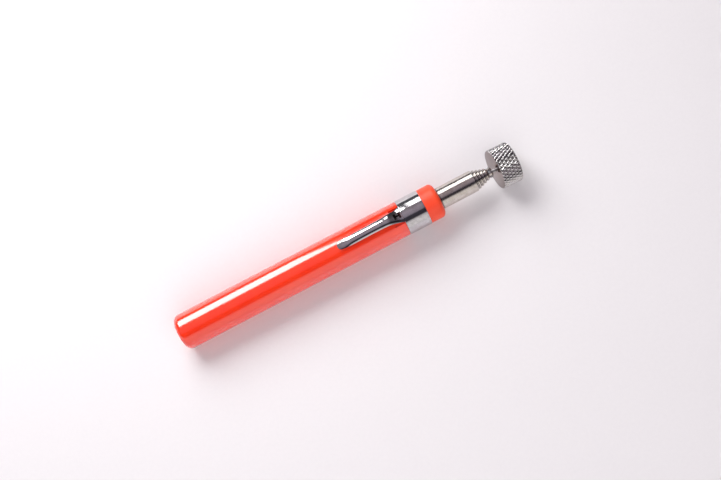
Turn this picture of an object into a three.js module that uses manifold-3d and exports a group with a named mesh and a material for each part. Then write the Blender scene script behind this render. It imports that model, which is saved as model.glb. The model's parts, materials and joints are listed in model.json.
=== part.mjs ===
// Telescopic magnetic pick-up tool with a pocket clip, closed, lying clip upwards.
// Millimetres, +Z up. The tool is modelled along +X from its butt at x = 0, with the clip
// on its +Z side, and is then laid down so that its butt and its head touch z = 0.
import * as THREE from "three";
import { mergeVertices } from "three/addons/utils/BufferGeometryUtils.js";
import Module from "manifold-3d";

const wasm = await Module();
wasm.setup();

// Roundness of the turned pieces. The two that the tool lies on have wider flats, so that it stays put.
const SEGMENTS = 32;
const RESTING_SEGMENTS = 20;
const FORK_SEGMENTS = 24;
const SMALL_SEGMENTS = 16;
const CORNER_STEPS = 4;
const SMALL_CORNER_STEPS = 3;

// How far a cutting shape reaches past what it cuts
const CUT_OVERRUN = 1;

// Gaps: between pieces that slide or turn in each other, and between pieces that abut
const RUNNING_GAP = 0.04;
const FITTED_GAP = 0.15;

// Handle
const BUTT_RADIUS = 8.85;
const BARREL_FRONT_RADIUS = 8.7;
const BARREL_BORE_RADIUS = 6.6;
const BUTT_WALL = 3;
const BUTT_CORNER = 4;
const BAND_START = 118.3;
const BAND_LENGTH = 11.3;
const BAND_RADIUS = 8.75;
const BAND_THICKNESS = 0.8;
const BAND_EDGE = 0.2;
const NOSE_RADIUS = 8.55;
const NOSE_FRONT = 137.7;
const NOSE_CORNER_LENGTH = 2.4;
const NOSE_CORNER_HEIGHT = 3;
const NOSE_SHANK_LENGTH = 9;

// Telescopic tubes: tube 0 is fixed in the handle and tubes 1 to 5 slide
const SLIDING_TUBES = 5;
const TUBE_RADIUS = 5.3;
const TUBE_RADIUS_STEP = 0.55;
const TUBE_WALL = 0.3;
const MOUTH = 156.4;
const MOUTH_STEP = 1.65;
const LAST_MOUTH = 163.5;
const LIP_LENGTH = 1;
const LIP_CORNER = 0.45;
const STROKE = 95;
const STOP_GAP = 0.2;
const SLEEVE_LENGTH = 8;
const SLEEVE_INSET = 0.6;
const SLEEVE_SPLIT = 1;
const SEAT_WALL = 3;
const SEAT_LENGTH = 14;

// Pocket clip, as heights above the tool's axis
const CLIP_TIP = 84.8;
const CLIP_ROOT = 117.9;
const CLIP_SHEET = 0.6;
const CLIP_ROOT_HEIGHT = 9.35;
const CLIP_RISE = 115.9;
const CLIP_RISE_HEIGHT = 9.55;
const CLIP_ARCH_HEIGHT = 11;
const CLIP_ARCH = 111.5;
const CLIP_HEEL = 90.4;
const CLIP_HEEL_HEIGHT = 10.1;
const CLIP_FOOT_HEIGHT = 9.75;
const CLIP_FOOT = 87.4;
const CLIP_TIP_HEIGHT = 10.2;
const CLIP_HALF_WIDTH = 2.45;
const CLIP_ROOT_HALF_WIDTH = 3.6;
const CLIP_NECK = 114.9;
const CLIP_NECK_HALF_WIDTH = 3.3;
const CLIP_FLARE = 107;
const CLIP_STEPS = 16;

// Tip hinge
const PIVOT = 164.5;
const SHANK_START = 156;
const FORK_RADIUS = 2.15;
const FORK_END = 165.9;
const FORK_CORNER = 1;
const FORK_NECK_RADIUS = 2;
const FORK_SLOT_HALF_WIDTH = 1;
const FORK_SLOT_START = 162.9;
const PIN_RADIUS = 0.6;
const PIN_HEAD_RADIUS = 0.85;
const PIN_HEAD_HEIGHT = 0.3;
const PIN_BORE_RADIUS = 0.68;

// Magnetic head, measured forwards from the pivot
const HEAD_TILT = THREE.MathUtils.degToRad(6);
const HEAD_BACK = 2.8;
const HEAD_LENGTH = 9.9;
const HEAD_RADIUS = 10;
const HEAD_CHAMFER = 0.45;
const HEAD_FLOOR = 2.2;
const HEAD_RECESS_RADIUS = 8.2;
const HEAD_GAP = 0.3;
const STEM_RADIUS = 0.85;
const EYE_RADIUS = 1.3;
const STEM_FLANGE_RADIUS = 2.6;
const STEM_FLANGE_LENGTH = 0.8;
const BACKING_LENGTH = 1.5;
const MAGNET_RADIUS = 6;
const MAGNET_RECESS = 0.3;

const plastic = (color, roughness) => new THREE.MeshStandardMaterial({ color, roughness });
const metal = (color, roughness) => new THREE.MeshStandardMaterial({ color, roughness, metalness: 1 });
const orangePlastic = plastic(0xff461e, 0.2);
const noseOrangePlastic = plastic(0xff5a36, 0.25);
const blackPlastic = plastic(0x202022, 0.5);
const chromedSteel = metal(0xd9dade, 0.1);
const stainlessSteel = metal(0xcdc8c0, 0.18);
const brass = metal(0xc8a24c, 0.3);
const zincSteel = metal(0xa9adb2, 0.35);
const nickelMagnet = metal(0xbfc1c4, 0.2);

/** Points [x, radius] on an elliptical arc, its angles in degrees from +X towards +radius. */
function arc([x, radius], width, height, from, to, steps = CORNER_STEPS) {
  const points = [];
  for (let i = 0; i <= steps; i += 1) {
    const angle = THREE.MathUtils.degToRad(from + ((to - from) * i) / steps);
    points.push([x + width * Math.cos(angle), radius + height * Math.sin(angle)]);
  }
  return points;
}

/** A solid turned about the X axis from its outline of [x, radius] points; its flats lie at that radius. */
function turned(outline, segments = SEGMENTS) {
  const corner = 1 / Math.cos(Math.PI / segments);
  const points = outline.map(([x, radius]) => new THREE.Vector2(radius * corner, x));
  const endsOnAxis = outline[0][1] === 0 && outline.at(-1)[1] === 0;
  if (!endsOnAxis) points.push(points[0].clone());
  if (THREE.ShapeUtils.area(points) < 0) points.reverse();
  return new THREE.LatheGeometry(points, segments, Math.PI / segments).rotateZ(-Math.PI / 2);
}

/** A plain ring about the X axis. */
function ring(start, end, inner, outer, segments = SEGMENTS) {
  return turned([[start, inner], [end, inner], [end, outer], [start, outer]], segments);
}

/** A solid of constant outline in the XZ plane, centred on y = 0. */
function extrudedAcross(outline, halfWidth) {
  const shape = new THREE.Shape(outline.map(([x, z]) => new THREE.Vector2(x, z)));
  const depth = 2 * halfWidth;
  return new THREE.ExtrudeGeometry(shape, { depth, bevelEnabled: false })
    .translate(0, 0, -halfWidth)
    .rotateX(Math.PI / 2);
}

/** A box from its lowest and highest corners. */
function block(low, high) {
  const size = high.map((value, axis) => value - low[axis]);
  const middle = high.map((value, axis) => (value + low[axis]) / 2);
  return new THREE.BoxGeometry(...size).translate(...middle);
}

function toSolid(geometry) {
  const bare = new THREE.BufferGeometry();
  bare.setAttribute("position", geometry.getAttribute("position"));
  bare.setIndex(geometry.index);
  const merged = mergeVertices(bare, 1e-4);
  const vertProperties = merged.getAttribute("position").array;
  const triVerts = new Uint32Array(merged.index.array);
  return new wasm.Manifold(new wasm.Mesh({ numProp: 3, vertProperties, triVerts }));
}

function toGeometry(solid) {
  const { vertProperties, triVerts } = solid.getMesh();
  const geometry = new THREE.BufferGeometry();
  geometry.setAttribute("position", new THREE.BufferAttribute(vertProperties, 3));
  geometry.setIndex(new THREE.BufferAttribute(triVerts, 1));
  geometry.computeVertexNormals();
  return geometry;
}

const joined = (first, second) => toGeometry(toSolid(first).add(toSolid(second)));
const cut = (body, tool) => toGeometry(toSolid(body).subtract(toSolid(tool)));
const common = (first, second) => toGeometry(toSolid(first).intersect(toSolid(second)));

function addPiece(group, name, geometry, material) {
  const mesh = new THREE.Mesh(geometry, material);
  mesh.name = name;
  group.add(mesh);
}

// ---- Handle ----

/** The moulded barrel: blind from the front, stepped down at its front for the clip's band. */
function handleBarrel() {
  const shoulder = BAND_START - FITTED_GAP;
  const spigotRadius = BAND_RADIUS - BAND_THICKNESS - FITTED_GAP;
  return turned([
    [0, 0],
    ...arc([BUTT_CORNER, BUTT_RADIUS - BUTT_CORNER], BUTT_CORNER, BUTT_CORNER, 180, 90),
    [shoulder, BARREL_FRONT_RADIUS],
    [shoulder, spigotRadius],
    [BAND_START + BAND_LENGTH, spigotRadius],
    [BAND_START + BAND_LENGTH, BARREL_BORE_RADIUS],
    [BUTT_WALL, BARREL_BORE_RADIUS],
    [BUTT_WALL, 0],
  ], RESTING_SEGMENTS);
}

/** The rounded collar in front of the band, whose shank plugs into the barrel's bore. */
function noseBush() {
  const start = BAND_START + BAND_LENGTH + FITTED_GAP;
  const cornerAt = [NOSE_FRONT - NOSE_CORNER_LENGTH, NOSE_RADIUS - NOSE_CORNER_HEIGHT];
  const bore = TUBE_RADIUS + FITTED_GAP;
  const shankRadius = BARREL_BORE_RADIUS - FITTED_GAP;
  return turned([
    [start - NOSE_SHANK_LENGTH, bore],
    [start - NOSE_SHANK_LENGTH, shankRadius],
    [start, shankRadius],
    [start, NOSE_RADIUS],
    ...arc(cornerAt, NOSE_CORNER_LENGTH, NOSE_CORNER_HEIGHT, 90, 0),
    [NOSE_FRONT, bore],
  ]);
}

/** The cup that centres the fixed tube's rear end in the barrel. */
function tubeSeat(tubeRear) {
  const floor = tubeRear - FITTED_GAP;
  const start = floor - SEAT_WALL;
  const end = start + SEAT_LENGTH;
  const inner = TUBE_RADIUS + FITTED_GAP;
  const outer = BARREL_BORE_RADIUS - FITTED_GAP;
  return turned([[start, 0], [start, outer], [end, outer], [end, inner], [floor, inner], [floor, 0]]);
}

/** The chromed band of the pocket clip, with its edges broken. */
function clipBand() {
  const end = BAND_START + BAND_LENGTH;
  const inner = BAND_RADIUS - BAND_THICKNESS;
  return turned([
    [BAND_START, inner],
    [BAND_START, BAND_RADIUS - BAND_EDGE],
    [BAND_START + BAND_EDGE, BAND_RADIUS],
    [end - BAND_EDGE, BAND_RADIUS],
    [end, BAND_RADIUS - BAND_EDGE],
    [end, inner],
  ]);
}

/** The clip's arm: a bent strip, narrowing from its flared root to a round tip. */
function clipArm() {
  const bends = [
    [CLIP_ROOT, CLIP_ROOT_HEIGHT],
    [CLIP_RISE, CLIP_RISE_HEIGHT],
    [CLIP_ARCH, CLIP_ARCH_HEIGHT],
    [CLIP_HEEL, CLIP_HEEL_HEIGHT],
    [CLIP_FOOT, CLIP_FOOT_HEIGHT],
    [CLIP_TIP, CLIP_TIP_HEIGHT],
  ];
  const curve = new THREE.SplineCurve(bends.map(([x, z]) => new THREE.Vector2(x, z)));
  const top = curve.getPoints(CLIP_STEPS).map((point) => [point.x, point.y]);
  const bottom = top.map(([x, z]) => [x, z - CLIP_SHEET]).reverse();
  const strip = extrudedAcross([...top, ...bottom], CLIP_ROOT_HALF_WIDTH);
  const halfPlan = [
    [CLIP_ROOT + CUT_OVERRUN, CLIP_ROOT_HALF_WIDTH],
    [CLIP_NECK, CLIP_NECK_HALF_WIDTH],
    [CLIP_FLARE, CLIP_HALF_WIDTH],
    ...arc([CLIP_TIP + CLIP_HALF_WIDTH, 0], CLIP_HALF_WIDTH, CLIP_HALF_WIDTH, 90, 180),
  ];
  const otherHalf = halfPlan.slice(0, -1).map(([x, y]) => [x, -y]).reverse();
  const planShape = new THREE.Shape([...halfPlan, ...otherHalf].map(([x, y]) => new THREE.Vector2(x, y)));
  const plan = new THREE.ExtrudeGeometry(planShape, { depth: 2 * CLIP_ARCH_HEIGHT, bevelEnabled: false });
  return common(strip, plan);
}

// ---- Telescopic tubes ----

const tubeRadius = (index) => TUBE_RADIUS - TUBE_RADIUS_STEP * index;
const tubeMouth = (index) => (index < SLIDING_TUBES ? MOUTH + MOUTH_STEP * index : LAST_MOUTH);
const tubeRear = (index) =>
  MOUTH + MOUTH_STEP * (index - 1) - LIP_LENGTH - STOP_GAP - STROKE - SLEEVE_LENGTH - SLEEVE_INSET;

/** A thin tube whose mouth is rolled in around what it holds, and its rear in behind it. */
function tube(index) {
  const radius = tubeRadius(index);
  const inside = radius - TUBE_WALL;
  const next = index < SLIDING_TUBES ? tubeRadius(index + 1) : FORK_NECK_RADIUS;
  const mouthInside = next + RUNNING_GAP;
  const rearInside = next - TUBE_WALL;
  const rear = tubeRear(index);
  const mouth = tubeMouth(index);
  return turned([
    [rear, rearInside],
    [rear, radius],
    ...arc([mouth - LIP_CORNER, radius - LIP_CORNER], LIP_CORNER, LIP_CORNER, 90, 0, SMALL_CORNER_STEPS),
    [mouth, mouthInside],
    [mouth - LIP_LENGTH, mouthInside],
    [mouth - LIP_LENGTH, inside],
    [rear + LIP_LENGTH, inside],
    [rear + LIP_LENGTH, rearInside],
  ]);
}

/** The split spring sleeve round a sliding tube's rear end, which grips the tube outside it. */
function frictionSleeve(index) {
  const start = tubeRear(index) + SLEEVE_INSET;
  const end = start + SLEEVE_LENGTH;
  const inner = tubeRadius(index) + RUNNING_GAP;
  const outer = tubeRadius(index - 1) - TUBE_WALL - RUNNING_GAP;
  const splitLow = [start - CUT_OVERRUN, -SLEEVE_SPLIT / 2, 0];
  const splitHigh = [end + CUT_OVERRUN, SLEEVE_SPLIT / 2, 2 * outer];
  return cut(ring(start, end, inner, outer), block(splitLow, splitHigh));
}

// ---- Tip hinge ----

/** A pin across the tool at the pivot, turned about the Y axis. */
function crossPin(radius, halfLength) {
  return new THREE.CylinderGeometry(radius, radius, 2 * halfLength, SMALL_SEGMENTS)
    .translate(PIVOT, 0, 0);
}

/** The forked plug held in the last tube's rolled mouth. */
function tipFork() {
  const neckStart = LAST_MOUTH - LIP_LENGTH - FITTED_GAP;
  const neckEnd = LAST_MOUTH + FITTED_GAP;
  const shankRadius = tubeRadius(SLIDING_TUBES) - TUBE_WALL - RUNNING_GAP;
  const neckRadius = FORK_NECK_RADIUS - RUNNING_GAP;
  const cornerAt = [FORK_END - FORK_CORNER, FORK_RADIUS - FORK_CORNER];
  const body = turned([
    [SHANK_START, 0],
    [SHANK_START, shankRadius],
    [neckStart, shankRadius],
    [neckStart, neckRadius],
    [neckEnd, neckRadius],
    [neckEnd, FORK_RADIUS],
    ...arc(cornerAt, FORK_CORNER, FORK_CORNER, 90, 0, SMALL_CORNER_STEPS),
    [FORK_END, 0],
  ], FORK_SEGMENTS);
  const slotLow = [FORK_SLOT_START, -FORK_SLOT_HALF_WIDTH, -2 * FORK_RADIUS];
  const slotHigh = [FORK_END + CUT_OVERRUN, FORK_SLOT_HALF_WIDTH, 2 * FORK_RADIUS];
  const forked = cut(body, block(slotLow, slotHigh));
  return cut(forked, crossPin(PIN_BORE_RADIUS, 2 * FORK_RADIUS));
}

/** The rivet through the fork, with a head at each end. */
function pivotRivet() {
  const reach = FORK_RADIUS + FITTED_GAP;
  const end = reach + PIN_HEAD_HEIGHT;
  return turned([
    [-end, 0],
    [-end, PIN_HEAD_RADIUS - PIN_HEAD_HEIGHT],
    [-reach, PIN_HEAD_RADIUS],
    [-reach, PIN_RADIUS],
    [reach, PIN_RADIUS],
    [reach, PIN_HEAD_RADIUS],
    [end, PIN_HEAD_RADIUS - PIN_HEAD_HEIGHT],
    [end, 0],
  ], SMALL_SEGMENTS).rotateZ(Math.PI / 2).translate(PIVOT, 0, 0);
}

// ---- Magnetic head, each piece measured forwards from the pivot ----

/** The stem: an eye on the pivot, a thin shank and a flange riveted inside the head. */
function headStem() {
  const flangeStart = HEAD_BACK + HEAD_FLOOR + FITTED_GAP;
  const flangeEnd = flangeStart + STEM_FLANGE_LENGTH;
  const eye = new THREE.CylinderGeometry(EYE_RADIUS, EYE_RADIUS, 2 * STEM_RADIUS, SMALL_SEGMENTS);
  const shank = turned([
    [0, 0],
    [0, STEM_RADIUS],
    [flangeStart, STEM_RADIUS],
    [flangeStart, STEM_FLANGE_RADIUS],
    [flangeEnd, STEM_FLANGE_RADIUS],
    [flangeEnd, 0],
  ], SMALL_SEGMENTS);
  const pinHole = new THREE.CylinderGeometry(PIN_BORE_RADIUS, PIN_BORE_RADIUS, HEAD_RADIUS, SMALL_SEGMENTS);
  return cut(joined(eye, shank), pinHole);
}

/** The cup that holds the magnet; its rim stands at the knurl's crests. */
function knurledHead() {
  const front = HEAD_BACK + HEAD_LENGTH;
  const floor = HEAD_BACK + HEAD_FLOOR;
  const stemHole = STEM_RADIUS + FITTED_GAP;
  return turned([
    [HEAD_BACK, stemHole],
    [HEAD_BACK, HEAD_RADIUS - HEAD_CHAMFER],
    [HEAD_BACK + HEAD_CHAMFER, HEAD_RADIUS],
    [front - HEAD_CHAMFER, HEAD_RADIUS],
    [front, HEAD_RADIUS - HEAD_CHAMFER],
    [front, HEAD_RECESS_RADIUS],
    [floor, HEAD_RECESS_RADIUS],
    [floor, stemHole],
  ], RESTING_SEGMENTS);
}

const backingStart = HEAD_BACK + HEAD_FLOOR + HEAD_GAP;
const magnetStart = backingStart + BACKING_LENGTH + HEAD_GAP;
const magnetEnd = HEAD_BACK + HEAD_LENGTH - MAGNET_RECESS;
const recessFit = HEAD_RECESS_RADIUS - HEAD_GAP;

/** The steel plate behind the magnet, holed for the stem's flange. */
const backingPlate = () =>
  ring(backingStart, backingStart + BACKING_LENGTH, STEM_FLANGE_RADIUS + HEAD_GAP, recessFit);

/** The ring that keeps the magnet centred, away from the cup's wall. */
const magnetSpacer = () => ring(magnetStart, magnetEnd, MAGNET_RADIUS + HEAD_GAP, recessFit);

/** The magnet, a plain disc with its edge broken. */
const magnetDisc = () =>
  turned([
    [magnetStart, 0],
    [magnetStart, MAGNET_RADIUS],
    [magnetEnd - BAND_EDGE, MAGNET_RADIUS],
    [magnetEnd, MAGNET_RADIUS - BAND_EDGE],
    [magnetEnd, 0],
  ]);

// ---- Assembly ----

const tool = new THREE.Group();
addPiece(tool, "handle_barrel", handleBarrel(), orangePlastic);
addPiece(tool, "nose_bush", noseBush(), noseOrangePlastic);
addPiece(tool, "tube_seat", tubeSeat(tubeRear(0)), blackPlastic);
addPiece(tool, "clip_band", clipBand(), chromedSteel);
addPiece(tool, "clip_arm", clipArm(), chromedSteel);
addPiece(tool, "outer_tube", tube(0), stainlessSteel);
for (let index = 1; index <= SLIDING_TUBES; index += 1) {
  addPiece(tool, `sliding_tube_${index}`, tube(index), stainlessSteel);
  addPiece(tool, `friction_sleeve_${index}`, frictionSleeve(index), brass);
}
addPiece(tool, "tip_fork", tipFork(), stainlessSteel);
addPiece(tool, "pivot_rivet", pivotRivet(), zincSteel);

const head = new THREE.Group();
head.position.x = PIVOT;
head.rotation.y = HEAD_TILT;
addPiece(head, "head_stem", headStem(), zincSteel);
addPiece(head, "knurled_head", knurledHead(), chromedSteel);
addPiece(head, "backing_plate", backingPlate(), zincSteel);
addPiece(head, "magnet_spacer", magnetSpacer(), brass);
addPiece(head, "magnet", magnetDisc(), nickelMagnet);
tool.add(head);

// Laying the tool down: its lowest points are under the butt's corner and the head's front rim.
const rimReach = HEAD_BACK + HEAD_LENGTH - HEAD_CHAMFER;
const rimForward = PIVOT + rimReach * Math.cos(HEAD_TILT) - HEAD_RADIUS * Math.sin(HEAD_TILT);
const rimDrop = rimReach * Math.sin(HEAD_TILT) + HEAD_RADIUS * Math.cos(HEAD_TILT);
tool.rotation.y = -Math.atan2(rimDrop - BUTT_RADIUS, rimForward - BUTT_CORNER);

const part = new THREE.Group();
part.add(tool);
const box = new THREE.Box3().setFromObject(part, true);
tool.position.set(-(box.min.x + box.max.x) / 2, 0, -box.min.z);

export default part;
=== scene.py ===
"""The looks of a telescopic magnetic pick-up tool with a pocket clip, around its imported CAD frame.

Every piece is built in millimetres along +X, from the butt for the tool and from the tilting
joint for the head, with the clip on the +Z side, and is then placed by the frame's own mounts
and joints.
"""

import json
import math

import bmesh
import bpy
from mathutils import Matrix, Vector


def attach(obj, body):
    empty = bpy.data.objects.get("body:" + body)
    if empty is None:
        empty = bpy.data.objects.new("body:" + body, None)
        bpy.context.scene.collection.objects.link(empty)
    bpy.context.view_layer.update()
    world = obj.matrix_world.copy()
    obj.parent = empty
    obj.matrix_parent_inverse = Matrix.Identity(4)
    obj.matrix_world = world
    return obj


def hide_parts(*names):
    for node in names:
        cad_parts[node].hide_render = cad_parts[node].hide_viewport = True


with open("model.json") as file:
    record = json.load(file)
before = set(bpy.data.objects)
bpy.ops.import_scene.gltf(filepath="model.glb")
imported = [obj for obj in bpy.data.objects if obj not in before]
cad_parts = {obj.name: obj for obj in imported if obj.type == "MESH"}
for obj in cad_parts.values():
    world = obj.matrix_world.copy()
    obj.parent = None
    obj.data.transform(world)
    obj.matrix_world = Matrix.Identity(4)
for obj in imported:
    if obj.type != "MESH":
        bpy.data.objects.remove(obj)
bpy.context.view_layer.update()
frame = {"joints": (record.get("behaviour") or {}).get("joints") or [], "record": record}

MM = 0.001
# segments round a piece, by its size
FINE = 160
MEDIUM = 96
SMALL = 48
HOLE_SEGMENTS = 32
SHARP_ANGLE = math.radians(32)
FIRST_WELD = 1e-7
FINAL_WELD = 3e-6

# ---- Where the pieces go ----

mounts = {mount["name"]: mount for mount in frame["record"]["mounts"]}
joints = {joint["name"]: joint for joint in frame["joints"]}


def placing(origin, forward):
    """The matrix from a piece's own axes, +X forwards and +Y across the tool, to the row frame."""
    across = Vector((0, 1, 0))
    columns = [forward, across, forward.cross(across)]
    return Matrix.Translation(origin) @ Matrix(columns).transposed().to_4x4()


tool_forward = -Vector(mounts["butt_face"]["axis"]).normalized()
head_forward = Vector(mounts["magnet_face"]["axis"]).normalized()
TOOL = placing(Vector(mounts["butt_face"]["pos_m"]), tool_forward)
HEAD = placing(Vector(joints["head_tilt"]["pos_m"]), head_forward)

# ---- Shapes: each helper gives (vertices, faces) ----


def soften(corners, steps=5):
    """An outline of [x, radius] points from corners (x, radius, rounding)."""
    points = []
    for index, corner in enumerate(corners):
        here = Vector(corner[:2])
        if len(corner) < 3:
            points.append(here)
            continue
        back = (Vector(corners[index - 1][:2]) - here).normalized()
        onward = (Vector(corners[(index + 1) % len(corners)][:2]) - here).normalized()
        half = back.angle(onward) / 2
        centre = here + (back + onward).normalized() * corner[2] / math.sin(half)
        reach = corner[2] / math.tan(half)
        start = (here + back * reach - centre).normalized()
        end = (here + onward * reach - centre).normalized()
        for step in range(steps + 1):
            points.append(centre + start.slerp(end, step / steps) * corner[2])
    return points


def lathe(outline, segments, sweep=360.0, middle=90.0):
    """A closed outline turned about the X axis, all round or over a sweep centred on an angle."""
    whole = sweep >= 360
    rows = segments if whole else segments + 1
    first = math.radians(middle - sweep / 2)
    vertices = []
    for row in range(rows):
        angle = first + math.radians(sweep) * row / segments
        turn = Vector((0, math.cos(angle), math.sin(angle)))
        vertices += [Vector((x, 0, 0)) + turn * radius for x, radius in outline]
    count = len(outline)
    faces = []
    for row in range(segments):
        here = row * count
        there = (row + 1) % rows * count
        for k in range(count):
            after = (k + 1) % count
            faces.append((here + k, here + after, there + after, there + k))
    if not whole:
        faces.append(tuple(range(count)))
        faces.append(tuple(range(segments * count, (segments + 1) * count)))
    return vertices, faces


def rod(start, end, radius, segments):
    """A plain round bar along the X axis."""
    return lathe([(start, 0), (start, radius), (end, radius), (end, 0)], segments)


def slab(low, high):
    """A box from its lowest and highest corners."""
    spans = list(zip(low, high))
    corners = [Vector((x, y, z)) for x in spans[0] for y in spans[1] for z in spans[2]]
    faces = [(0, 1, 3, 2), (4, 6, 7, 5), (0, 4, 5, 1), (2, 3, 7, 6), (0, 2, 6, 4), (1, 5, 7, 3)]
    return corners, faces


def turned_to_y(shape):
    """The same shape with its X axis laid along Y."""
    vertices, faces = shape
    return [Vector((-v.y, v.x, v.z)) for v in vertices], faces


def moved(shape, x, z=0):
    """The same shape shifted along the tool and up."""
    vertices, faces = shape
    return [v + Vector((x, 0, z)) for v in vertices], faces


# ---- Pieces ----


def make_sound(bm, weld):
    """Merges vertices closer than weld, drops loose edges and turns the faces outwards."""
    bmesh.ops.remove_doubles(bm, verts=bm.verts, dist=weld)
    bmesh.ops.dissolve_degenerate(bm, edges=bm.edges, dist=weld)
    loose = [edge for edge in bm.edges if not edge.link_faces]
    bmesh.ops.delete(bm, geom=loose, context="EDGES")
    bmesh.ops.recalc_face_normals(bm, faces=bm.faces)
    if bm.calc_volume(signed=True) < 0:
        bmesh.ops.reverse_faces(bm, faces=bm.faces)


def mesh_from(name, shape):
    """A sound mesh in metres from a shape in millimetres."""
    vertices, faces = shape
    bm = bmesh.new()
    made = [bm.verts.new(v * MM) for v in vertices]
    for face in faces:
        bm.faces.new([made[i] for i in face])
    make_sound(bm, FIRST_WELD)
    mesh = bpy.data.meshes.new(name)
    bm.to_mesh(mesh)
    bm.free()
    return mesh


def add_object(name, mesh):
    thing = bpy.data.objects.new(name, mesh)
    bpy.context.scene.collection.objects.link(thing)
    return thing


def apply_modifiers(thing):
    """Makes what the modifiers give the object's own mesh."""
    graph = bpy.context.evaluated_depsgraph_get()
    final = bpy.data.meshes.new_from_object(thing.evaluated_get(graph))
    thing.modifiers.clear()
    thing.data = final


def carve(thing, operation, *shapes):
    """Joins, cuts or intersects an object's mesh with other shapes, in its own axes."""
    for shape in shapes:
        tool = add_object("cutter", mesh_from("cutter", shape))
        modifier = thing.modifiers.new("carve", "BOOLEAN")
        modifier.operation = operation
        modifier.solver = "EXACT"
        modifier.object = tool
        bpy.context.view_layer.update()
        apply_modifiers(thing)
        bpy.data.objects.remove(tool)


def finish_piece(thing, place, body, node, material):
    """Smooths the piece, gives it its material and puts it on its body in its CAD node's stead."""
    bm = bmesh.new()
    bm.from_mesh(thing.data)
    make_sound(bm, FINAL_WELD)
    bm.to_mesh(thing.data)
    bm.free()
    thing.data.shade_smooth()
    thing.data.set_sharp_from_angle(angle=SHARP_ANGLE)
    thing.data.materials.clear()
    thing.data.materials.append(material)
    thing.matrix_world = place
    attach(thing, body)
    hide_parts(node)


def add_piece(name, shape, place, body, node, material):
    thing = add_object(name, mesh_from(name, shape))
    finish_piece(thing, place, body, node, material)
    return thing


# ---- Materials ----


# painted shade: near-black for the inside of the barrel's bore, where shadow falls
BORE_SHADE = (0.014, 0.007, 0.005, 1)
# painted shade: dark grey for the crevices of the metal pieces
CREVICE_SHADE = (0.05, 0.042, 0.045, 1)


class Nodes:
    """A node tree and the two ways to fill it."""

    def __init__(self, tree):
        self.tree = tree

    def node(self, kind, values=None, **settings):
        """A new node, its sockets named or numbered in values."""
        made = self.tree.nodes.new(kind)
        for key, value in settings.items():
            setattr(made, key, value)
        for key, value in (values or {}).items():
            self.feed(made.inputs[key], value)
        return made

    def feed(self, socket, value):
        """Links the socket to another one, or sets it to a constant."""
        if isinstance(value, bpy.types.NodeSocket):
            self.tree.links.new(value, socket)
        else:
            socket.default_value = value


class Finish(Nodes):
    """A procedural material around one Principled shader, with its textures in millimetres."""

    def __init__(self, name, **constants):
        self.material = bpy.data.materials.new(name)
        self.material.use_nodes = True
        super().__init__(self.material.node_tree)
        self.shader = self.tree.nodes["Principled BSDF"]
        for socket, value in constants.items():
            self.shader.inputs[socket.replace("_", " ")].default_value = value
        place = self.node("ShaderNodeTexCoord").outputs["Object"]
        to_mm = {0: place, 1: (1 / MM, 1 / MM, 1 / MM)}
        self.place = self.node("ShaderNodeVectorMath", to_mm, operation="MULTIPLY").outputs[0]

    def stretched(self, x, y, z):
        """Texture coordinates whose pattern is drawn out where the factor is small."""
        values = {0: self.place, 1: (x, y, z)}
        return self.node("ShaderNodeVectorMath", values, operation="MULTIPLY").outputs[0]

    def along(self):
        """Distance along the piece's X axis, in millimetres."""
        return self.node("ShaderNodeSeparateXYZ", {0: self.place}).outputs["X"]

    def noise(self, scale, detail=3.0, roughness=0.6, at=None):
        values = {
            "Vector": at or self.place, "Scale": scale, "Detail": detail, "Roughness": roughness,
        }
        return self.node("ShaderNodeTexNoise", values).outputs[0]

    def rings(self, distance, scale, detail=3.0):
        """Noise that changes only with one distance, as the fine rings that a lathe leaves."""
        values = {"W": distance, "Scale": scale, "Detail": detail}
        return self.node("ShaderNodeTexNoise", values, noise_dimensions="1D").outputs[0]

    def radius(self):
        """Distance from the piece's X axis, in millimetres."""
        flat = self.stretched(0, 1, 1)
        return self.node("ShaderNodeVectorMath", {0: flat}, operation="LENGTH").outputs["Value"]

    def spread(self, value, low, high, out_low, out_high):
        """Value mapped from one range to another and clamped."""
        values = {"Value": value, "From Min": low, "From Max": high}
        values |= {"To Min": out_low, "To Max": out_high}
        return self.node("ShaderNodeMapRange", values).outputs[0]

    def blend(self, factor, first, second):
        # the colour sockets share their names with other kinds, so they are picked by place
        values = {0: factor, 6: first, 7: second}
        return self.node("ShaderNodeMix", values, data_type="RGBA").outputs[2]

    def crevices(self, most, reach, low, high):
        """Painted shade: the most in the object's narrow places, found by ambient occlusion, 0 on
        its open faces.
        """
        occlusion = self.node("ShaderNodeAmbientOcclusion", {"Distance": reach * MM}, samples=8)
        return self.spread(occlusion.outputs["AO"], low, high, most, 0)

    def bump(self, height, distance, strength=1.0, normal=None):
        values = {"Height": height, "Distance": distance * MM, "Strength": strength}
        if normal is not None:
            values["Normal"] = normal
        return self.node("ShaderNodeBump", values).outputs[0]

    def set(self, socket, value):
        self.feed(self.shader.inputs[socket], value)


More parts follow.
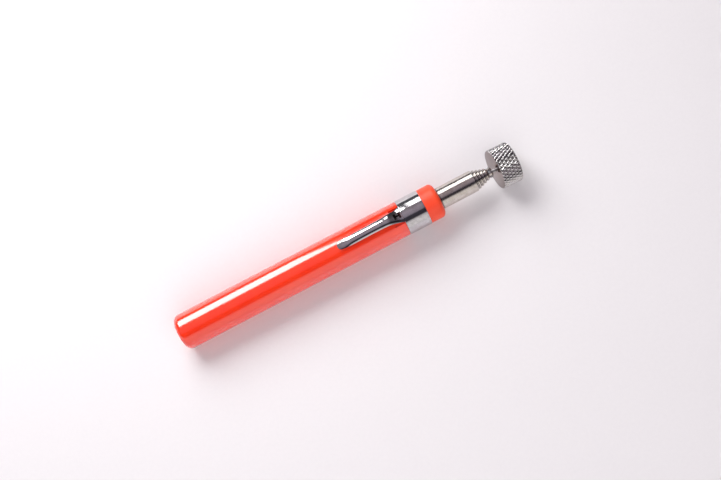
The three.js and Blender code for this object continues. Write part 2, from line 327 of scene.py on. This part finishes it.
def moulded(name, colour, darker, scuffed, roughness, shaded_bore=None, **constants):
    """Moulded plastic: uneven pigment, orange-peel skin and fine scuffs.

    A bore given by where it starts along the axis, and the radius that it lies within, is painted
    near-black, as painted shade.
    """
    finish = Finish(name, **constants)
    pigment = finish.spread(finish.noise(0.09, 4), 0.35, 0.65, 0, 1)
    speckle = finish.spread(finish.noise(5.0, 2), 0.55, 0.75, 0, 0.35)
    tint = finish.blend(pigment, colour, darker)
    tint = finish.blend(speckle, tint, darker)
    scratches = finish.noise(1.0, 5, 0.7, at=finish.stretched(0.12, 2.4, 2.4))
    scuffs = finish.spread(scratches, 0.62, 0.72, 0, 1)
    worn = finish.spread(finish.noise(0.35, 3), 0.5, 0.7, 0, 0.6)
    tint = finish.blend(finish.spread(scuffs, 0, 1, 0, 0.1), tint, scuffed)
    # painted shade: the bore past its start and within its radius goes near-black, as if in shadow
    if shaded_bore is not None:
        start, bore = shaded_bore
        past_start = finish.spread(finish.along(), start - 0.1, start, 0, 1)
        inside = finish.spread(finish.radius(), bore - 0.02, bore, past_start, 0)
        tint = finish.blend(inside, tint, BORE_SHADE)
    finish.set("Base Color", tint)
    values = {0: scuffs, 1: worn, 2: 0.15}
    rough = finish.node("ShaderNodeMath", values, operation="MULTIPLY_ADD").outputs[0]
    finish.set("Roughness", finish.spread(rough, 0, 1, roughness, roughness + 0.35))
    peel = finish.bump(finish.noise(1.3, 2), 0.012)
    finish.set("Normal", finish.bump(scuffs, 0.006, normal=peel))
    return finish.material


# painted shade for the head's back face, with a random stain through it
BACK_FACE_SHADE = (0.22, 0.165, 0.158, 1)
BACK_FACE_SHADE_STAIN = (0.16, 0.112, 0.105, 1)


def plated(name, colour, stain, roughness, marks, mark_depth, shaded_before=None, crevice_shade=None):
    """Bare or plated metal: tarnish, uneven polish and the marks of how it was made.

    Before a given distance along the axis it is painted darker, as shade, and the last argument,
    which crevices() takes, paints shade into its crevices.
    """
    finish = Finish(name, Metallic=1.0)
    tarnish = finish.spread(finish.noise(0.3, 5, 0.65), 0.45, 0.75, 0, 1)
    tint = finish.blend(tarnish, colour, stain)
    # painted shade: everything before the given distance takes the darker colours
    if shaded_before is not None:
        shaded_back = finish.spread(finish.along(), shaded_before, shaded_before + 0.04, 1, 0)
        tint = finish.blend(shaded_back, tint, finish.blend(tarnish, BACK_FACE_SHADE, BACK_FACE_SHADE_STAIN))
    # painted shade: crevices found by ambient occlusion go dark grey
    if crevice_shade is not None:
        tint = finish.blend(finish.crevices(*crevice_shade), tint, CREVICE_SHADE)
    finish.set("Base Color", tint)
    if marks == "drawn":
        lines = finish.noise(1.0, 4, 0.7, at=finish.stretched(0.05, 4.0, 4.0))
    elif marks == "turned":
        lines = finish.rings(finish.along(), 7.0)
    elif marks == "faced":
        lines = finish.rings(finish.radius(), 6.0)
    else:
        lines = finish.noise(2.2, 4, 0.7)
    smear = finish.noise(0.8, 4, 0.6)
    rough = finish.node("ShaderNodeMath", {0: lines, 1: smear}, operation="MULTIPLY").outputs[0]
    finish.set("Roughness", finish.spread(rough, 0.1, 0.45, roughness, roughness * 2.2))
    finish.set("Normal", finish.bump(lines, mark_depth))
    return finish.material


ORANGE = (1.0, 0.040, 0.004, 1)
DEEP_ORANGE = (0.95, 0.028, 0.002, 1)
PALE_ORANGE = (1.0, 0.16, 0.07, 1)
CORAL = (1.0, 0.085, 0.028, 1)
DEEP_CORAL = (0.94, 0.060, 0.018, 1)
BLACK = (0.012, 0.012, 0.013, 1)
DEEP_BLACK = (0.008, 0.008, 0.008, 1)
PALE_BLACK = (0.05, 0.05, 0.05, 1)

# the barrel's closed end, and its turned-down front end, which the clip's band goes round
BUTT_WALL = 3.0
SPIGOT_RADIUS = 7.8

barrel_orange = moulded(
    "barrel_orange", ORANGE, DEEP_ORANGE, PALE_ORANGE, 0.1,
    # the bore inside the spigot is painted near-black, as shade
    shaded_bore=(BUTT_WALL, SPIGOT_RADIUS),
    IOR=1.6, Coat_Weight=1.0, Coat_Roughness=0.03, Coat_IOR=1.6,
)
nose_orange = moulded("nose_orange", CORAL, DEEP_CORAL, PALE_ORANGE, 0.34)
black_plastic = moulded("black_plastic", BLACK, DEEP_BLACK, PALE_BLACK, 0.4)
clip_chrome = plated(
    "clip_chrome", (0.62, 0.60, 0.62, 1), (0.48, 0.46, 0.47, 1), 0.07, "rolled", 0.002,
)
drawn_steel = plated(
    "drawn_steel", (0.68, 0.63, 0.59, 1), (0.53, 0.47, 0.42, 1), 0.12, "drawn", 0.003,
    # the crevices, such as the grooves behind the mouths, are painted darker, as shade
    crevice_shade=(0.95, 1.1, 0.62, 0.95),
)
# only the head's back face lies before 2.86, and it is painted darker there, as shade
head_chrome = plated(
    "head_chrome", (0.66, 0.64, 0.64, 1), (0.52, 0.49, 0.48, 1), 0.06, "faced", 0.001,
    # the knurl's crevices are painted darker, as shade
    shaded_before=2.86, crevice_shade=(0.85, 0.7, 0.55, 0.85),
)
brass = plated("brass", (0.76, 0.55, 0.21, 1), (0.45, 0.28, 0.10, 1), 0.22, "turned", 0.004)
zinc = plated("zinc", (0.66, 0.67, 0.69, 1), (0.45, 0.44, 0.43, 1), 0.24, "rolled", 0.004)
nickel = plated("nickel", (0.72, 0.71, 0.69, 1), (0.50, 0.48, 0.45, 1), 0.18, "faced", 0.004)

# ---- Handle ----

BARREL_END = 118.15
BAND_END = 129.6
BARREL_BORE = 6.6
GATE_DEPTH = 0.12
# where the clip's root and its tabs go in, under a sector of the barrel's front end
POCKET_BACK = 113.0
POCKET_FRONT = 120
POCKET_BOTTOM = 7.85
POCKET_TOP = 9.2
POCKET_SWEEP = 60
POCKET_SEGMENTS = 40
TAB_HOLE_X = 116.0
TAB_HOLE_Z = 9.6
TAB_HOLE_RADIUS = 2.75
TAB_HOLE_HALF = 2.6
TAB_HOLE_SEGMENTS = 64

barrel = add_object("barrel", mesh_from("barrel", lathe(soften([
    (GATE_DEPTH, 0), (GATE_DEPTH, 0.75, 0.05), (0, 0.85, 0.05), (0, 8.85, 3.3), (60, 8.77),
    (BARREL_END, 8.7, 0.12), (BARREL_END, SPIGOT_RADIUS), (BAND_END, SPIGOT_RADIUS, 0.1),
    (BAND_END, BARREL_BORE), (BUTT_WALL, BARREL_BORE, 1.0), (BUTT_WALL, 0),
], 14), FINE)))
clip_pocket = lathe([
    (POCKET_BACK, POCKET_BOTTOM), (POCKET_FRONT, POCKET_BOTTOM),
    (POCKET_FRONT, POCKET_TOP), (POCKET_BACK, POCKET_TOP),
], POCKET_SEGMENTS, sweep=POCKET_SWEEP)
tab_hole = turned_to_y(rod(-TAB_HOLE_HALF, TAB_HOLE_HALF, TAB_HOLE_RADIUS, TAB_HOLE_SEGMENTS))
carve(barrel, "DIFFERENCE", clip_pocket, moved(tab_hole, TAB_HOLE_X, TAB_HOLE_Z))
finish_piece(barrel, TOOL, "handle", "handle_barrel", barrel_orange)

NOSE_START = BAND_END + 0.1
NOSE_BORE = 5.45
PLUG_RADIUS = 6.45
PLUG_LENGTH = 9


def ellipse_corner(x, radius, width, height, steps=14):
    """A quarter ellipse about (x, radius), from its top to its front."""
    angles = [math.pi / 2 * (1 - step / steps) for step in range(steps + 1)]
    return [Vector((x + width * math.cos(a), radius + height * math.sin(a))) for a in angles]


nose_rear = soften([
    (NOSE_START - PLUG_LENGTH, NOSE_BORE), (NOSE_START - PLUG_LENGTH, PLUG_RADIUS),
    (NOSE_START, PLUG_RADIUS), (NOSE_START, 8.55, 0.12),
])
nose_front = ellipse_corner(135.3, 5.55, 2.4, 3.0)
add_piece(
    "nose", lathe([*nose_rear[:-1], *nose_front, Vector((137.6, NOSE_BORE))], FINE),
    TOOL, "handle", "nose_bush", nose_orange,
)

SEAT_START = 46.8
SEAT_END = 60.8
SEAT_WALL = 3.0
add_piece("seat", lathe(soften([
    (SEAT_START, 0), (SEAT_START, PLUG_RADIUS, 0.3), (SEAT_END, PLUG_RADIUS, 0.3),
    (SEAT_END, NOSE_BORE, 0.3), (SEAT_START + SEAT_WALL, NOSE_BORE, 0.4),
    (SEAT_START + SEAT_WALL, 0),
]), MEDIUM), TOOL, "handle", "tube_seat", black_plastic)

# ---- Pocket clip ----

BAND_START = 118.3
BAND_RADIUS = 8.75
BAND_BORE = 7.95
BAND_SWEEP = 357.6
SHEET = 0.45
add_piece("band", lathe(soften([
    (BAND_START, BAND_BORE, 0.1), (BAND_START, BAND_RADIUS, 0.22),
    (BAND_END, BAND_RADIUS, 0.22), (BAND_END, BAND_BORE, 0.1),
]), FINE, sweep=BAND_SWEEP), TOOL, "handle", "clip_band", clip_chrome)

# The arm's surface: distance from the butt, height of its middle, half width, drop of its edges
ARM = [
    (118.26, 8.74, 3.95, 0.94),
    (117.6, 8.77, 3.72, 0.88),
    (116.4, 8.95, 3.42, 0.86),
    (115.0, 9.42, 3.15, 0.86),
    (113.4, 10.16, 2.9, 0.87),
    (111.8, 10.80, 2.7, 0.89),
    (109.8, 10.97, 2.52, 0.90),
    (107.0, 10.90, 2.42, 0.90),
    (102.0, 10.68, 2.34, 0.90),
    (96.0, 10.38, 2.32, 0.88),
    (92.4, 10.18, 2.3, 0.80),
    (90.6, 9.96, 2.25, 0.66),
    (89.2, 9.72, 2.2, 0.50),
    (87.4, 9.66, 2.1, 0.40),
    (84.85, 9.98, 1.95, 0.34),
]
ARM_TIP_ROUNDING = 2.0
# how much of the edges' drop follows a parabola across the arm; the rest falls off at its sides
ARM_CROWN = 0.83


def along(table, position):
    """The table's values at a position, on a smooth curve through its rows."""
    last = len(table) - 1
    for index in range(last):
        if table[index][0] >= position >= table[index + 1][0]:
            break
    p0, p1, p2, p3 = [table[max(0, min(last, index + k))] for k in (-1, 0, 1, 2)]
    t = (position - p1[0]) / (p2[0] - p1[0])
    values = []
    for k in range(1, len(p1)):
        before = (p2[k] - p0[k]) / (p2[0] - p0[0]) * (p2[0] - p1[0])
        after = (p3[k] - p1[k]) / (p3[0] - p1[0]) * (p2[0] - p1[0])
        values.append(
            (2 * t**3 - 3 * t**2 + 1) * p1[k] + (t**3 - 2 * t**2 + t) * before
            + (3 * t**2 - 2 * t**3) * p2[k] + (t**3 - t**2) * after
        )
    return values


def arm_sheet(stations=110, columns=16):
    """The arm's upper surface as an open sheet, its tip rounded in plan."""
    start, end = ARM[0][0], ARM[-1][0]
    vertices = []
    for row in range(stations + 1):
        share = row / stations
        # stations crowd together towards the tip, to make its round end
        position = start + (end - start) * math.sin(share * math.pi / 2)
        height, full, drop = along(ARM, position)
        half_width = full
        from_tip = position - end
        if from_tip < ARM_TIP_ROUNDING:
            half_width *= math.sqrt(max(0.0, 1 - (1 - from_tip / ARM_TIP_ROUNDING) ** 2))
        for column in range(columns + 1):
            y = half_width * (2 * column / columns - 1)
            across = (y / full) ** 2
            fall = drop * (ARM_CROWN * across + (1 - ARM_CROWN) * across**3)
            vertices.append(Vector((position, y, height - fall)))
    faces = []
    for row in range(stations):
        for column in range(columns):
            a = row * (columns + 1) + column
            faces.append((a, a + 1, a + columns + 2, a + columns + 1))
    return vertices, faces


clip = add_object("clip", mesh_from("clip", arm_sheet()))
thicken = clip.modifiers.new("sheet", "SOLIDIFY")
thicken.thickness = SHEET * MM
thicken.offset = -1 if clip.data.polygons[0].normal.z > 0 else 1
bpy.context.view_layer.update()
apply_modifiers(clip)
# two slots across the root and the cut between them free a pair of tabs that hold the barrel
SLOT_HALF = 1.4
CUT_HALF = 0.42
CUTTER_BOTTOM = 7
CUTTER_TOP = 12
carve(clip, "DIFFERENCE", *[
    slab((back, -half, CUTTER_BOTTOM), (front, half, CUTTER_TOP))
    for back, front, half in (
        (114.25, 115.4, SLOT_HALF), (116.7, 117.75, SLOT_HALF), (115.2, 117.0, CUT_HALF),
    )
])
rounding = clip.modifiers.new("edges", "BEVEL")
rounding.width = 0.1 * MM
rounding.segments = 2
rounding.limit_method = "ANGLE"
rounding.angle_limit = math.radians(50)
bpy.context.view_layer.update()
apply_modifiers(clip)
finish_piece(clip, TOOL, "clip", "clip_arm", clip_chrome)

# ---- Telescopic tubes ----

TUBES = 6
TUBE_RADIUS = 5.3
TUBE_STEP = 0.55
TUBE_WALL = 0.3
MOUTHS = (156.4, 158.05, 159.7, 161.35, 163.0, 163.5)
REAR = 49.95
REAR_STEP = 1.65
FORK_NECK = 2.0
MOUTH_GAP = 0.12
# the rolled mouth is this long inside
LIP = 1.0
# the groove round the tube behind its mouth: its depth, and where its slopes start and end
CRIMP = 0.21
GROOVE_REAR = (2.1, 2.0)
GROOVE_FRONT = (0.95, 0.8)
# the rear end is turned in this far behind what the tube holds
REAR_STOP = 0.3


def tube(index):
    """A drawn tube, its mouth rolled in round what it holds and its rear turned in."""
    radius = TUBE_RADIUS - TUBE_STEP * index
    inside = radius - TUBE_WALL
    held = radius - TUBE_STEP if index < TUBES - 1 else FORK_NECK
    rear = REAR + REAR_STEP * index
    mouth = MOUTHS[index]
    outline = [(rear, held - REAR_STOP), (rear, radius, 0.25)]
    if 0 < index < TUBES - 1:
        outline += [
            (mouth - GROOVE_REAR[0], radius, 0.1), (mouth - GROOVE_REAR[1], radius - CRIMP, 0.05),
            (mouth - GROOVE_FRONT[0], radius - CRIMP, 0.1), (mouth - GROOVE_FRONT[1], radius, 0.12),
        ]
    outline += [
        (mouth, radius, 0.4), (mouth, held + MOUTH_GAP, 0.1), (mouth - LIP, held + MOUTH_GAP),
        (mouth - LIP, inside), (rear + LIP, inside), (rear + LIP, held - REAR_STOP),
    ]
    return lathe(soften(outline, 8), MEDIUM)


SLEEVE_LENGTH = 8
SLEEVE_SETBACK = 0.6
SLEEVE_GAP = 0.04
SLEEVE_SWEEP = 346


def sleeve(index):
    """The split spring sleeve between a tube's rear end and the tube outside it."""
    start = REAR + REAR_STEP * index + SLEEVE_SETBACK
    end = start + SLEEVE_LENGTH
    inner = TUBE_RADIUS - TUBE_STEP * index + SLEEVE_GAP
    outer = TUBE_RADIUS - TUBE_STEP * (index - 1) - TUBE_WALL - SLEEVE_GAP
    outline = soften([(start, inner), (start, outer, 0.06), (end, outer, 0.06), (end, inner)], 4)
    return lathe(outline, MEDIUM, sweep=SLEEVE_SWEEP, middle=-90)


add_piece("fixed_tube", tube(0), TOOL, "handle", "outer_tube", drawn_steel)
for number in range(1, TUBES):
    body = f"section_{number}"
    add_piece(
        f"tube_{number}", tube(number),
        TOOL, body, f"sliding_tube_{number}", drawn_steel,
    )
    add_piece(
        f"sleeve_{number}", sleeve(number),
        TOOL, body, f"friction_sleeve_{number}", brass,
    )

# ---- Tip hinge ----

PIVOT = 164.5
FORK_START = 156
FORK_END = 165.9
FORK_RADIUS = 2.15
# the fork's foot, inside the last tube, and its neck, in that tube's mouth
FOOT_END = 162.35
FOOT_RADIUS = 2.2
NECK_END = 163.6
NECK_RADIUS = 1.96
FORK_SLOT = 162.9
FORK_SLOT_HALF = 1
PIN_HOLE = 0.66

fork = add_object("fork", mesh_from("fork", lathe(soften([
    (FORK_START, 0), (FORK_START, FOOT_RADIUS, 0.1), (FOOT_END, FOOT_RADIUS),
    (FOOT_END, NECK_RADIUS), (NECK_END, NECK_RADIUS), (NECK_END, FORK_RADIUS, 0.08),
    (FORK_END, FORK_RADIUS, 0.95), (FORK_END, 0),
], 10), SMALL)))
# both cutters reach past the fork
carve(
    fork, "DIFFERENCE",
    slab((FORK_SLOT, -FORK_SLOT_HALF, -4), (167, FORK_SLOT_HALF, 4)),
    moved(turned_to_y(rod(-3, 3, PIN_HOLE, HOLE_SEGMENTS)), PIVOT),
)
finish_piece(fork, TOOL, "tip", "tip_fork", drawn_steel)

RIVET_HALF = 2.58
RIVET_SHOULDER = 2.3
RIVET_RADIUS = 0.6
rivet = turned_to_y(lathe(soften([
    (-RIVET_HALF, 0), (-RIVET_HALF, 0.8, 0.26), (-RIVET_SHOULDER, 0.85),
    (-RIVET_SHOULDER, RIVET_RADIUS), (RIVET_SHOULDER, RIVET_RADIUS),
    (RIVET_SHOULDER, 0.85), (RIVET_HALF, 0.8, 0.26), (RIVET_HALF, 0),
]), SMALL))
add_piece("rivet", moved(rivet, PIVOT), TOOL, "tip", "pivot_rivet", zinc)

# ---- Magnetic head, measured forwards from the tilting joint ----

HEAD_BACK = 2.8
HEAD_FRONT = 12.7
HEAD_RADIUS = 10.0
CHAMFER = 0.45
RECESS = 8.2
CUP_FLOOR = 5.0

STEM_START = 0.9
STEM_RADIUS = 0.85
# the stem's riveted foot, on the cup's floor
STEM_FOOT = (5.15, 5.95)
STEM_FOOT_RADIUS = 2.6
# the ring at the stem's end, round the rivet
EYE_HALF = 0.92
EYE_HOLE = 0.68
EYE_RADIUS = 1.3

stem = add_object("stem", mesh_from("stem", lathe(soften([
    (STEM_START, 0), (STEM_START, STEM_RADIUS), (STEM_FOOT[0], STEM_RADIUS),
    (STEM_FOOT[0], STEM_FOOT_RADIUS, 0.1), (STEM_FOOT[1], STEM_FOOT_RADIUS, 0.25),
    (STEM_FOOT[1], 0),
]), SMALL)))
carve(stem, "UNION", turned_to_y(lathe(soften([
    (-EYE_HALF, EYE_HOLE), (-EYE_HALF, EYE_RADIUS, 0.18),
    (EYE_HALF, EYE_RADIUS, 0.18), (EYE_HALF, EYE_HOLE),
]), SMALL)))
finish_piece(stem, HEAD, "head", "head_stem", zinc)

KNURL_GROOVES = 34
KNURL_HELIX = math.radians(29)
KNURL_DEPTH = 0.45
KNURL_BLUNTING = 0.35
KNURL_STEPS = 6


def knurl_height(row, turn):
    """0 in a groove to 1 on a blunt crest, at a place counted in half diamonds both ways."""
    cuts = []
    for sign in (1, -1):
        groove = (turn + sign * row) / 2
        cuts.append(2 * abs(groove - round(groove)))
    nearest = min(cuts)
    return nearest * (1 + KNURL_BLUNTING - KNURL_BLUNTING * nearest**3)


def knurled_bar(start, end):
    """A round bar covered by the diamonds that two crossing sets of grooves leave."""
    half_turn = math.pi / KNURL_GROOVES
    half_length = half_turn * HEAD_RADIUS / math.tan(KNURL_HELIX)
    rows = math.ceil((end - start) / half_length) * KNURL_STEPS
    around = 2 * KNURL_GROOVES * KNURL_STEPS
    index = {}
    vertices = []
    for row in range(rows + 1):
        for turn in range(row % 2, around, 2):
            height = knurl_height(row / KNURL_STEPS, turn / KNURL_STEPS)
            radius = HEAD_RADIUS - KNURL_DEPTH * (1 - height)
            angle = turn * half_turn / KNURL_STEPS
            x = start + row * half_length / KNURL_STEPS
            index[row, turn] = len(vertices)
            vertices.append(Vector((x, radius * math.cos(angle), radius * math.sin(angle))))
    faces = [tuple(index[row, turn] for turn in range(row % 2, around, 2)) for row in (0, rows)]
    for row in range(rows + 1):
        for turn in range(1 - row % 2, around, 2):
            before, after = (turn - 1) % around, (turn + 1) % around
            ring = [(row, before), (row + 1, turn), (row, after), (row - 1, turn)]
            faces.append(tuple(index[place] for place in ring if place in index))
    return vertices, faces


SPARE_BAR = 1.2
# the outline that trims the bar goes this far past its crests, so that only its chamfers cut
PROUD = 0.3
STEM_BORE = 1.0

bar = knurled_bar(HEAD_BACK - SPARE_BAR, HEAD_FRONT + SPARE_BAR)
head = add_object("head", mesh_from("head", bar))
carve(head, "INTERSECT", lathe(soften([
    (HEAD_BACK, STEM_BORE), (HEAD_BACK, HEAD_RADIUS - CHAMFER, 0.06),
    (HEAD_BACK + CHAMFER + PROUD, HEAD_RADIUS + PROUD),
    (HEAD_FRONT - CHAMFER - PROUD, HEAD_RADIUS + PROUD),
    (HEAD_FRONT, HEAD_RADIUS - CHAMFER, 0.06), (HEAD_FRONT, RECESS, 0.25),
    (CUP_FLOOR, RECESS, 0.3), (CUP_FLOOR, STEM_BORE),
]), FINE))
finish_piece(head, HEAD, "head", "knurled_head", head_chrome)

BACKING = (5.3, 6.8)
MAGNET = (7.1, 12.4)
MAGNET_RADIUS = 6.0
FILLING_RADIUS = 7.9
add_piece("backing", lathe(soften([
    (BACKING[0], 2.9, 0.1), (BACKING[0], FILLING_RADIUS, 0.15),
    (BACKING[1], FILLING_RADIUS, 0.15), (BACKING[1], 2.9, 0.1),
]), MEDIUM), HEAD, "head", "backing_plate", zinc)
add_piece("spacer", lathe(soften([
    (MAGNET[0], 6.3, 0.1), (MAGNET[0], FILLING_RADIUS, 0.1),
    (MAGNET[1], FILLING_RADIUS, 0.2), (MAGNET[1], 6.3, 0.2),
]), MEDIUM), HEAD, "head", "magnet_spacer", brass)
add_piece("magnet_disc", lathe(soften([
    (MAGNET[0], 0), (MAGNET[0], MAGNET_RADIUS, 0.2),
    (MAGNET[1], MAGNET_RADIUS, 0.3), (MAGNET[1], 0),
]), MEDIUM), HEAD, "head", "magnet", nickel)

# ---- Floor, light and camera ----

FLOOR_REACH = 3.0 / MM
FLOOR_CORNERS = ((-1, -1), (1, -1), (1, 1), (-1, 1))
PAPER = (0.82, 0.79, 0.808, 1)
PALE_PAPER = (0.86, 0.83, 0.846, 1)
floor = add_object("floor", mesh_from("floor", (
    [Vector((x * FLOOR_REACH, y * FLOOR_REACH, 0)) for x, y in FLOOR_CORNERS],
    [(0, 1, 2, 3)],
)))
paper = Finish("paper", Roughness=0.75)
paper.set("Base Color", paper.blend(paper.noise(0.6, 4), PAPER, PALE_PAPER))
paper.set("Normal", paper.bump(paper.noise(3.0, 3), 0.02))
floor.data.materials.append(paper.material)

# what hangs over the object, by how far it leans from upright towards +Y: a pale wall on the near
# side, a dark gap beside the camera, a grey ceiling, and a dark gap behind the softbox
STUDIO = [
    (-90, (0.95, 0.92, 0.90)),
    (-60, (0.88, 0.85, 0.83)),
    (-50, (0.60, 0.57, 0.57)),
    (-44, (0.05, 0.045, 0.055)),
    (-22, (0.05, 0.045, 0.06)),
    (-14, (0.32, 0.28, 0.33)),
    (10, (0.42, 0.36, 0.41)),
    (30, (0.26, 0.23, 0.25)),
    (72, (0.12, 0.12, 0.13)),
    (84, (0.10, 0.10, 0.11)),
    (90, (0.50, 0.49, 0.50)),
]
BACKDROP = (0.42, 0.395, 0.41, 1)

world = bpy.data.worlds.new("studio")
bpy.context.scene.world = world
world.use_nodes = True
sky = Nodes(world.node_tree)
studio = sky.tree.nodes["Background"]
direction = sky.node("ShaderNodeTexCoord").outputs["Generated"]
split = sky.node("ShaderNodeSeparateXYZ", {0: direction})
lean_angle = sky.node(
    "ShaderNodeMath", {0: split.outputs["Y"], 1: split.outputs["Z"]}, operation="ARCTAN2",
)
lean_share = sky.node(
    "ShaderNodeMath", {0: lean_angle.outputs[0], 1: 1 / math.pi, 2: 0.5}, operation="MULTIPLY_ADD",
)
ramp = sky.node("ShaderNodeValToRGB", {0: lean_share.outputs[0]})
elements = ramp.color_ramp.elements
for index, (lean, colour) in enumerate(STUDIO):
    # a new ramp has two elements already
    element = elements[index] if index < 2 else elements.new(1.0)
    element.position = (lean + 90) / 180
    element.color = (*colour, 1)
sky.feed(studio.inputs["Color"], ramp.outputs[0])
# the studio is dimmer beyond the tool's front end
ends = {"From Min": 0.1, "From Max": 0.6, "To Min": 1.0, "To Max": 0.4}
dim_end = sky.node("ShaderNodeMapRange", {"Value": split.outputs["X"], **ends})
sky.feed(studio.inputs["Strength"], dim_end.outputs[0])
# where it isn't mirrored but seen directly, the studio is a plain pale backdrop
backdrop = sky.node("ShaderNodeBackground", {"Color": BACKDROP})
seen = sky.node("ShaderNodeLightPath").outputs["Is Camera Ray"]
chooser = sky.node("ShaderNodeMixShader", {0: seen, 1: studio.outputs[0], 2: backdrop.outputs[0]})
sky.feed(sky.tree.nodes["World Output"].inputs["Surface"], chooser.outputs[0])


def softbox(
    name, lean, distance, width, length, radiance, shift=0.0, twist=0.0, gloss=True, diffuse=True,
):
    """A rectangular light over the object, leaning towards +Y, its length along X but for a twist.

    gloss says whether it is mirrored, and diffuse whether it lights matt surfaces.
    """
    light = bpy.data.lights.new(name, "AREA")
    light.shape = "RECTANGLE"
    light.size = length
    light.size_y = width
    light.energy = radiance * math.pi * width * length
    thing = bpy.data.objects.new(name, light)
    bpy.context.scene.collection.objects.link(thing)
    thing.matrix_world = (
        Matrix.Rotation(-math.radians(lean), 4, "X")
        @ Matrix.Translation((shift, 0, distance))
        @ Matrix.Rotation(math.radians(twist), 4, "Z")
    )
    thing.visible_glossy = gloss
    thing.visible_diffuse = diffuse


# two softboxes with a gap between them are mirrored in every glossy piece, and two lights that
# no piece mirrors light the matt surfaces
softbox("key_gloss", 49, 0.6, 0.40, 0.45, 8.5, shift=-0.25, twist=10, diffuse=False)
softbox("side_gloss", 48, 0.6, 0.32, 0.20, 3.2, shift=0.142, twist=4, diffuse=False)
softbox("key_diffuse", 48, 0.6, 0.40, 0.50, 7.5, shift=-0.07, twist=16, gloss=False)
softbox("fill_diffuse", -40, 0.8, 0.7, 1.2, 1.3, gloss=False)

LENS = 52.4
SENSOR_WIDTH = 36
CAMERA_DISTANCE = 0.495
# the camera looks at this point of the tool's axis, measured from the butt
AIM = 0.0959
CAMERA_LEAN = math.radians(12.5)
PICTURE_TURN = math.radians(27.6)
up = tool_forward.cross(Vector((0, 1, 0)))
towards_camera = up * math.cos(CAMERA_LEAN) - Vector((0, 1, 0)) * math.sin(CAMERA_LEAN)
sideways = Vector((0, 1, 0)) * math.cos(CAMERA_LEAN) + up * math.sin(CAMERA_LEAN)
right = tool_forward * math.cos(PICTURE_TURN) - sideways * math.sin(PICTURE_TURN)
above = tool_forward * math.sin(PICTURE_TURN) + sideways * math.cos(PICTURE_TURN)
aim = TOOL.translation + tool_forward * AIM
camera = bpy.data.objects.new("camera", bpy.data.cameras.new("camera"))
bpy.context.scene.collection.objects.link(camera)
camera.data.lens = LENS
camera.data.sensor_width = SENSOR_WIDTH
camera.matrix_world = (
    Matrix.Translation(aim + towards_camera * CAMERA_DISTANCE)
    @ Matrix([right, above, towards_camera]).transposed().to_4x4()
)
bpy.context.scene.camera = camera
bpy.context.scene.view_settings.view_transform = "Standard"

bpy.context.view_layer.update()
